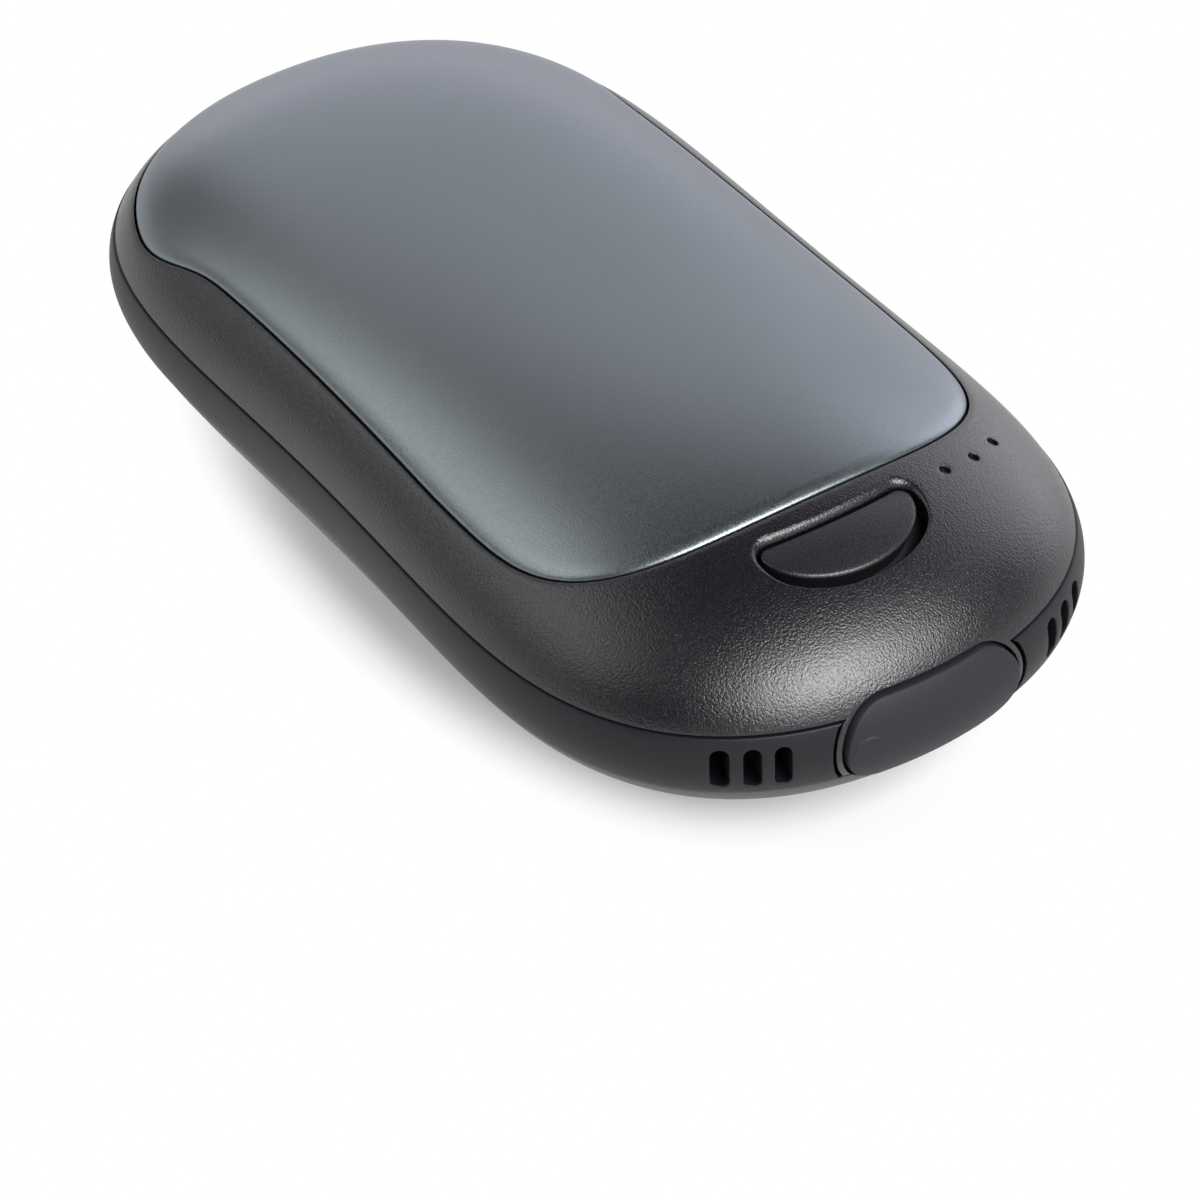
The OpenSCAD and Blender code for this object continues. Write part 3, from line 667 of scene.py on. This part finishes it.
def shell(name, under, edge, material):
    """A case half, whose open edge at the band is edge(skin, how far it is drawn back)."""
    outside, inner, floor = Skin(SHELL_SINK, under), Skin(WALL, under), Skin(POCKET, under)
    form = Form()

    start, inner_flat = edge(outside, EDGE_R), edge(inner, 0.0)
    corner, within = outside.place(edge(outside, 0.0)), inner.place(inner_flat)
    wall = toward(corner, within, EDGE_R)
    first, last = form.edge(outside.place(start), corner, wall, [within])
    rims, inner_rims = [(start, first)], [(inner_flat, last)]

    plate = plate_outline()
    wall_plan = plate.at(PLATE_GAP)
    start, corner = outside.from_plan(plate.at(PLATE_GAP + PLATE_RIM)), outside.over(wall_plan)
    wall = down(corner, PLATE_RIM_DROP, under)
    first, last = form.edge(outside.place(start), corner, wall, [floor.over(wall_plan)], 8)
    rims.append((start, first))
    form.fill([(floor.from_plan(wall_plan), last)], floor.place, HIDDEN_STEP)

    fine = []
    for rim_plan, wall_plan, fall, steps in [] if under else shell_openings():
        start, corner = outside.from_plan(rim_plan), outside.over(wall_plan)
        wall = down(corner, fall, under)
        first, last = form.edge(
            outside.place(start), corner, wall, [inner.over(wall_plan)], steps)
        rims.append((start, first))
        inner_rims.append((inner.from_plan(wall_plan), last))
        fine.append((start, DETAIL_REACH, DETAIL_STEP))
    form.fill(rims, outside.place, SHELL_STEP, fine)
    form.fill(inner_rims, inner.place, INNER_STEP)
    return form.build(name, material)


def heat_plate(name, under, material):
    """A heat plate with a rolled edge. The lower one has the flat that the case rests on."""
    top, low = Skin(0, under), Skin(PLATE_T, under)
    outline = plate_outline()
    form = Form()

    def face(xy):
        points = top.over(xy)
        if under:
            points[:, 2] = np.maximum(points[:, 2], -(BOTTOM_H - REST_CUT))
        return points

    start, foot = outline.at(-PLATE_LIP), outline.at(0.0)
    corner = top.over(foot)
    wall = down(corner, PLATE_LIP_DROP, under)
    first, last = form.edge(face(start), corner, wall, [low.over(foot)], 10)
    form.fill([(start, first)], face, PLATE_STEP)
    form.fill([(foot, last)], low.over, HIDDEN_STEP)
    return form.build(name, material)


def vent_outlines(skin, grow):
    """The six vent slots on a skin of the band, as flat outlines."""
    found = []
    for side in (1, -1):
        for k in range(3):
            y = side * (VENT_FIRST_Y + VENT_PITCH * k)
            slot = stadium(VENT_H + 2 * grow, VENT_W / 2 + grow, corner=7, side=8).points
            at_y = y + slot[:, 1]
            plan = np.column_stack([Skin(0).front_x(at_y), at_y])
            found.append(skin.from_rim(plan, slot[:, 0]))
    return found


def band(material):
    """The band between the case halves, with three vent slots on each side of the port."""
    outside, inner = Skin(0), Skin(WALL)
    form = Form()
    outlines = [(band_edge(outside, EDGE_R), band_edge(outside, 0.0), band_edge(inner, 0.0),
                 EDGE_R, 4)]
    for start, edge, inner_flat in zip(
            vent_outlines(outside, VENT_EDGE_R), vent_outlines(outside, 0),
            vent_outlines(inner, 0)):
        outlines.append((start, edge, inner_flat, VENT_EDGE_R, 5))
    rims, inner_rims = [], []
    for start, edge, inner_flat, r, steps in outlines:
        corner, within = outside.place(edge), inner.place(inner_flat)
        wall = toward(corner, within, r)
        first, last = form.edge(outside.place(start), corner, wall, [within], steps)
        rims.append((start, first))
        inner_rims.append((inner_flat, last))
    form.fill(rims, outside.place, BAND_STEP)
    form.fill(inner_rims, inner.place, BAND_INNER_STEP)
    return form.build("band", material)


def cover_face(yz, depth=0.0):
    """Points of the cover's outer face, or depth below it."""
    side_r = COVER_SIDE_R - depth
    ring_r = COVER_PLAN_R - COVER_SIDE_R + np.sqrt(np.maximum(0, side_r ** 2 - yz[:, 1] ** 2))
    x = COVER_FRONT - COVER_PLAN_R + np.sqrt(ring_r ** 2 - yz[:, 0] ** 2)
    return np.column_stack([x, yz[:, 0], yz[:, 1]])


def cover_back(yz):
    return cover_face(yz, COVER_T)


def at_x(x, yz):
    return np.column_stack([np.full(len(yz), x), yz])


def cover(material):
    """The rubber cover, with its sealing rib, its plug and the round mark over the plug."""
    form = Form()
    outline = stadium(COVER_W, COVER_H / 2)

    def face(yz):
        away = np.hypot(yz[:, 0] - MARK_Y, yz[:, 1] - MARK_Z)
        return cover_face(yz, -MARK_RISE * smooth((MARK_R - away) / MARK_SLOPE))

    start, rim = outline.at(-COVER_EDGE_R), outline.at(0.0)
    corner, back = cover_face(rim), cover_back(rim)
    wall = toward(corner, back, COVER_EDGE_R)
    first, last = form.edge(cover_face(start), corner, wall, [0.5 * (wall + back), back], 6)
    slope = circle(MARK_Y, MARK_Z, MARK_R - MARK_SLOPE / 2, MARK_COUNT).points
    form.fill([(start, first)], face, COVER_STEP, [(slope, MARK_REACH, MARK_STEP)])

    rib_out = stadium(RIB_W, RIB_R, RIB_Y).points
    rib_in = stadium(RIB_W - 2 * RIB_WALL, RIB_R - RIB_WALL, RIB_Y).points
    foot = form.add(cover_back(rib_out))
    tip_out, tip_in = at_x(RIB_TIP_X, rib_out), at_x(RIB_TIP_X, rib_in)
    inner = form.walls(foot, [
        tip_out + [RIB_SOFT, 0, 0], tip_out * 0.75 + tip_in * 0.25,
        tip_out * 0.25 + tip_in * 0.75, tip_in + [RIB_SOFT, 0, 0], cover_back(rib_in)])
    form.fill([(rib_in, inner)], cover_back, RIB_STEP)

    plug = circle(ANCHOR_Y, 0, ANCHOR_R, ROD_COUNT).points
    neck = form.add(cover_back(plug))
    form.cap(form.walls(neck, [
        at_x(x, circle(ANCHOR_Y, 0, ANCHOR_R + more, ROD_COUNT).points)
        for x, more in PLUG_RINGS]))
    form.fill([(rim, last), (rib_out, foot), (plug, neck)], cover_back, COVER_BACK_STEP)
    piece = form.build("rubber_cover", material, body=None)
    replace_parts(piece, "port_cover", "cover_anchor")
    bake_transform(piece)
    return piece


def button(material):
    """The button, with its hidden lip below the shell and the stem over its switch."""
    outline = button_outline()
    inner = Skin(WALL)
    form = Form()
    share = round_share(outline.points)
    r = BUTTON_EDGE_R + BUTTON_EDGE_R_MORE * share

    start, corner = outline.at(-r), button_top(outline.at(0.0))
    foot = down(inner.over(outline.at(-BUTTON_UNDERCUT * share)), LIP_GAP)
    lip = down(inner.over(outline.at(LIP_REACH)), LIP_GAP)
    first, last = form.edge(
        button_top(start), corner, down(corner, r), [foot, lip, down(lip, LIP_T)], 5)
    form.fill([(start, first)], button_top, BUTTON_STEP)
    form.fill([(outline.at(LIP_REACH), last)],
              lambda xy: down(inner.over(xy), LIP_GAP + LIP_T), LIP_STEP)

    def ring(z, r):
        around = circle(STEM_X, 0, r, ROD_COUNT).points
        return np.column_stack([around, np.full(ROD_COUNT, z)])

    top = form.add(ring(STEM_TOP_Z, STEM_R))
    form.cap(top)
    form.cap(form.walls(top, [ring(STEM_LOW_Z + STEM_EDGE_R, STEM_R),
                              ring(STEM_LOW_Z, STEM_R - STEM_EDGE_R)]))
    piece = form.build("press_button", material, body="power_button")
    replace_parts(piece, "power_button")
    return piece


def node_material(name):
    made = bpy.data.materials.new(name)
    made.use_nodes = True
    return made, made.node_tree.nodes, made.node_tree.links


def noise(nodes, links, place, scale, detail, rough):
    made = nodes.new("ShaderNodeTexNoise")
    made.inputs["Scale"].default_value = scale
    made.inputs["Detail"].default_value = detail
    made.inputs["Roughness"].default_value = rough
    links.new(place.outputs["Object"], made.inputs["Vector"])
    return made


def map_range(nodes, kind, from_min, from_max, to_min, to_max):
    made = nodes.new("ShaderNodeMapRange")
    made.interpolation_type = kind
    made.inputs["From Min"].default_value = from_min
    made.inputs["From Max"].default_value = from_max
    made.inputs["To Min"].default_value = to_min
    made.inputs["To Max"].default_value = to_max
    return made


def math_node(nodes, links, operation, one, two):
    """Joins two outputs, or an output and a number."""
    made = nodes.new("ShaderNodeMath")
    made.operation = operation
    links.new(one, made.inputs[0])
    links.new(two, made.inputs[1])
    return made.outputs["Value"]


# Noise per metre of the slow changes, the roughness of both noises, and the middle range of
# the fine noise that the gloss follows
PATCH_SCALE, PATCH_DETAIL, PATCH_ROUGH = 60, 3, 0.5
GRAIN_ROUGH = 0.6
GRAIN_LOW, GRAIN_HIGH = 0.3, 0.7


def grained(name, color, rough, grain=0.0004, bump=0.00002, metallic=0.0, patch=0.06, spec=0.5,
            detail=2.0, spread=0.04, edge=None):
    """Moulded or blasted surface: a fine grain, and slow changes of colour.

    grain and bump are in metres, patch and spread say how far colour and gloss change, and edge
    is the tint of a metal that is seen at a low angle."""
    made, nodes, links = node_material(name)
    shader = nodes["Principled BSDF"]
    shader.inputs["Metallic"].default_value = metallic
    shader.inputs["Specular IOR Level"].default_value = spec
    if edge:
        shader.inputs["Specular Tint"].default_value = (*edge, 1)
    place = nodes.new("ShaderNodeTexCoord")
    slow = noise(nodes, links, place, PATCH_SCALE, PATCH_DETAIL, PATCH_ROUGH)
    fine = noise(nodes, links, place, 1 / grain, detail, GRAIN_ROUGH)
    tint = nodes.new("ShaderNodeMix")
    tint.data_type = "RGBA"
    tint.inputs[6].default_value = (*[c * (1 - patch) for c in color], 1)
    tint.inputs[7].default_value = (*[min(1, c * (1 + patch)) for c in color], 1)
    links.new(slow.outputs["Fac"], tint.inputs[0])
    links.new(tint.outputs[2], shader.inputs["Base Color"])
    gloss = map_range(nodes, "LINEAR", GRAIN_LOW, GRAIN_HIGH, rough - spread, rough + spread)
    links.new(fine.outputs["Fac"], gloss.inputs["Value"])
    links.new(gloss.outputs["Result"], shader.inputs["Roughness"])
    relief = nodes.new("ShaderNodeBump")
    relief.inputs["Distance"].default_value = bump
    links.new(fine.outputs["Fac"], relief.inputs["Height"])
    links.new(relief.outputs["Normal"], shader.inputs["Normal"])
    return made


MATERIALS = {
    "anodised_plate": grained("anodised_plate", (0.222, 0.249, 0.259), 0.36, grain=0.00016,
                              bump=0.000014, metallic=1.0, patch=0.03, spread=0.06,
                              edge=(0.79, 0.775, 0.84)),
    "shell_black": grained("shell_black", (0.002, 0.002, 0.0045), 0.32, grain=0.0002,
                           bump=0.00005, spread=0.05, spec=0.8),
    "shell_grey": grained("shell_grey", (0.04, 0.04, 0.045), 0.5, grain=0.00025, bump=0.000012),
    "band_grey": grained("band_grey", (0.003, 0.003, 0.006), 0.52, grain=0.00015, bump=0.000004,
                         spec=0.42),
    "cover_rubber": grained("cover_rubber", (0.012, 0.0126, 0.017), 0.6, grain=0.0001,
                            bump=0.000003, spec=0.38),
    "button_grain": grained("button_grain", (0.006, 0.006, 0.0085), 0.4, grain=0.00018,
                            bump=0.00003, detail=1.5, spread=0.05, spec=0.7),
    "switch_white": grained("switch_white", (0.7, 0.68, 0.62), 0.4, bump=0.000004),
    "nickel": grained("nickel", (0.62, 0.6, 0.56), 0.3, grain=0.0002, bump=0.000003, metallic=1.0),
    # The light guides are near black: painted shade for the dark light holes that they sit in
    "light_clear": grained("light_clear", (0.03, 0.03, 0.034), 0.16, bump=0.000002),
    "led_white": grained("led_white", (0.8, 0.78, 0.66), 0.3, bump=0.000003),
    "board_green": grained("board_green", (0.01, 0.05, 0.024), 0.32, grain=0.0006, bump=0.000006),
    "chip_black": grained("chip_black", (0.02, 0.02, 0.022), 0.45, grain=0.0001, bump=0.000004),
    "screw_steel": grained("screw_steel", (0.45, 0.46, 0.47), 0.34, bump=0.000003, metallic=1.0),
    "cell_sleeve": grained("cell_sleeve", (0.03, 0.16, 0.33), 0.28, grain=0.001, bump=0.000006),
    "cradle_grey": grained("cradle_grey", (0.05, 0.05, 0.055), 0.5, bump=0.00001),
    "heater_film": grained("heater_film", (0.46, 0.18, 0.03), 0.3, grain=0.0008, bump=0.000005),
    "foam_grey": grained("foam_grey", (0.16, 0.16, 0.15), 0.9, grain=0.0005, bump=0.00012),
    "lead_red": grained("lead_red", (0.35, 0.02, 0.02), 0.4, bump=0.000003),
    "lead_white": grained("lead_white", (0.6, 0.6, 0.6), 0.4, bump=0.000003),
}

# CAD nodes keep their shape and take the finish of their slot
for part in frame["record"]["subparts"]:
    mesh = frame["nodes"][part["node"]].data
    mesh.materials.clear()
    mesh.materials.append(MATERIALS[part["material_slot"]])

upper = shell("case_upper", False, upper_edge, MATERIALS["shell_black"])
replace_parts(upper, "upper_shell")
lower = shell("case_lower", True, lower_edge, MATERIALS["shell_grey"])
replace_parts(lower, "lower_shell")
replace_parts(heat_plate("heat_plate_top", False, MATERIALS["anodised_plate"]), "top_plate")
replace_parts(heat_plate("heat_plate_bottom", True, MATERIALS["anodised_plate"]), "bottom_plate")
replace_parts(band(MATERIALS["band_grey"]), "mid_band")
cover(MATERIALS["cover_rubber"])
button(MATERIALS["button_grain"])


# Camera of the photograph, in millimetres and in pixels of its 1200 x 1200 frame
IMAGE_SIZE = 1200
VIEW_AZIMUTH, VIEW_ELEVATION, VIEW_ROLL = 58.08, 40.15, -2.50
VIEW_DISTANCE, VIEW_FOCAL = 373.4, 4376.3
CASE_PIXEL = (573.4, 390.0)
SENSOR = 36.0

# Light of the studio, as radiances. The floor glows least under the case, and it is plain
# white from SHADOW_FAR times the case's half length and half width on, in metres. The world's
# stripe ends in the degrees above the horizon.
FLOOR_SIZE = 6
FLOOR_GLOW = 0.2
SHADOW_X, SHADOW_Y = 0.052, 0.0265
SHADOW_NEAR, SHADOW_FAR = 0.78, 1.06
STRIPE_LOW, STRIPE_TOP, STRIPE_LEVEL, ROOM_LEVEL = 5, 15, 1.0, 0.05

# Name, azimuth, elevation, width and height in degrees, radiance and colour of each lamp
LAMP_DISTANCE = 0.9
LAMPS = (
    ("softbox_right", 95, 43, 35, 29, 13, (1, 1, 1)),
    ("softbox_left", -36, 44, 50, 32, 1.65, (1, 1, 1)),
    ("panel_back", -168, 21, 38, 44, 1.9, (0.98, 0.97, 1.08)),
    ("panel_back_left", -117, 27, 50, 48, 0.95, (0.98, 0.97, 1.06)),
)


def direction(azimuth, elevation):
    """The way from the case to something that is seen at these degrees."""
    a, e = math.radians(azimuth), math.radians(elevation)
    return Vector((math.sin(a) * math.cos(e), -math.cos(a) * math.cos(e), math.sin(e)))


def make_camera():
    a, roll = math.radians(VIEW_AZIMUTH), math.radians(VIEW_ROLL)
    back = direction(VIEW_AZIMUTH, VIEW_ELEVATION)
    right = Vector((math.cos(a), math.sin(a), 0))
    up = back.cross(right)
    turned = right * math.cos(roll) + up * math.sin(roll)
    upward = up * math.cos(roll) - right * math.sin(roll)
    middle = IMAGE_SIZE / 2
    off_x = (CASE_PIXEL[0] - middle) / VIEW_FOCAL
    off_y = (CASE_PIXEL[1] - middle) / VIEW_FOCAL
    case = Vector((SHIFT_X, 0, BASE_Z))
    eye = case - VIEW_DISTANCE * (-back + turned * off_x - upward * off_y)
    data = bpy.data.cameras.new("camera")
    data.sensor_width = SENSOR
    data.lens = VIEW_FOCAL * SENSOR / IMAGE_SIZE
    data.clip_start, data.clip_end = 0.01, 20
    made = bpy.data.objects.new("camera", data)
    pose = Matrix((turned, upward, back)).transposed().to_4x4()
    pose.translation = eye * MM
    made.matrix_world = pose
    bpy.context.scene.collection.objects.link(made)
    bpy.context.scene.camera = made


def make_floor():
    """White paper. A camera, a mirror and glass see it as plain white away from the case."""
    made, nodes, links = node_material("floor_white")
    shader = nodes["Principled BSDF"]
    shader.inputs["Base Color"].default_value = (0.9, 0.9, 0.9, 1)
    shader.inputs["Roughness"].default_value = 0.7
    shader.inputs["Specular IOR Level"].default_value = 0.2
    glow = nodes.new("ShaderNodeEmission")
    glow.inputs["Strength"].default_value = 1.0
    path = nodes.new("ShaderNodeLightPath")
    seen = path.outputs["Is Camera Ray"]
    for ray in ("Is Glossy Ray", "Is Transmission Ray"):
        seen = math_node(nodes, links, "MAXIMUM", seen, path.outputs[ray])
    where = nodes.new("ShaderNodeNewGeometry")
    plan = nodes.new("ShaderNodeVectorMath")
    plan.operation = "MULTIPLY"
    plan.inputs[1].default_value = (1 / SHADOW_X, 1 / SHADOW_Y, 0)
    links.new(where.outputs["Position"], plan.inputs[0])
    away = nodes.new("ShaderNodeVectorMath")
    away.operation = "LENGTH"
    links.new(plan.outputs["Vector"], away.inputs[0])
    level = map_range(nodes, "SMOOTHSTEP", SHADOW_NEAR, SHADOW_FAR, FLOOR_GLOW, 1.0)
    links.new(away.outputs["Value"], level.inputs["Value"])
    mix = nodes.new("ShaderNodeMixShader")
    share = math_node(nodes, links, "MULTIPLY", seen, level.outputs["Result"])
    links.new(share, mix.inputs[0])
    links.new(shader.outputs[0], mix.inputs[1])
    links.new(glow.outputs[0], mix.inputs[2])
    links.new(mix.outputs[0], nodes["Material Output"].inputs["Surface"])
    bpy.ops.mesh.primitive_plane_add(size=FLOOR_SIZE, location=(0, 0, 0))
    floor = bpy.context.object
    floor.name = "floor"
    floor.data.materials.append(made)


def area_light(name, azimuth, elevation, width, height, radiance, color):
    """A soft lamp that looks at the case, as wide and high as given, in degrees."""
    data = bpy.data.lights.new(name, "AREA")
    data.shape = "RECTANGLE"
    data.size = 2 * LAMP_DISTANCE * math.tan(math.radians(width) / 2)
    data.size_y = 2 * LAMP_DISTANCE * math.tan(math.radians(height) / 2)
    data.energy = radiance * math.pi * data.size * data.size_y
    data.color = color
    made = bpy.data.objects.new(name, data)
    made.visible_camera = False
    back = direction(azimuth, elevation)
    made.location = back * LAMP_DISTANCE
    made.rotation_euler = back.to_track_quat("Z", "Y").to_euler()
    bpy.context.scene.collection.objects.link(made)


def make_world():
    """A dim room overhead, with a white stripe along the horizon."""
    world = bpy.data.worlds.new("studio")
    world.use_nodes = True
    nodes, links = world.node_tree.nodes, world.node_tree.links
    place = nodes.new("ShaderNodeTexCoord")
    parts = nodes.new("ShaderNodeSeparateXYZ")
    links.new(place.outputs["Generated"], parts.inputs[0])
    rise = map_range(nodes, "SMOOTHERSTEP", math.sin(math.radians(STRIPE_LOW)),
                     math.sin(math.radians(STRIPE_TOP)), STRIPE_LEVEL, ROOM_LEVEL)
    links.new(parts.outputs["Z"], rise.inputs["Value"])
    paper = nodes["Background"]
    paper.inputs["Color"].default_value = (1, 1, 1, 1)
    links.new(rise.outputs["Result"], paper.inputs["Strength"])
    bpy.context.scene.world = world


make_camera()
make_floor()
make_world()
for lamp in LAMPS:
    area_light(*lamp)
bpy.context.scene.view_settings.view_transform = "Standard"
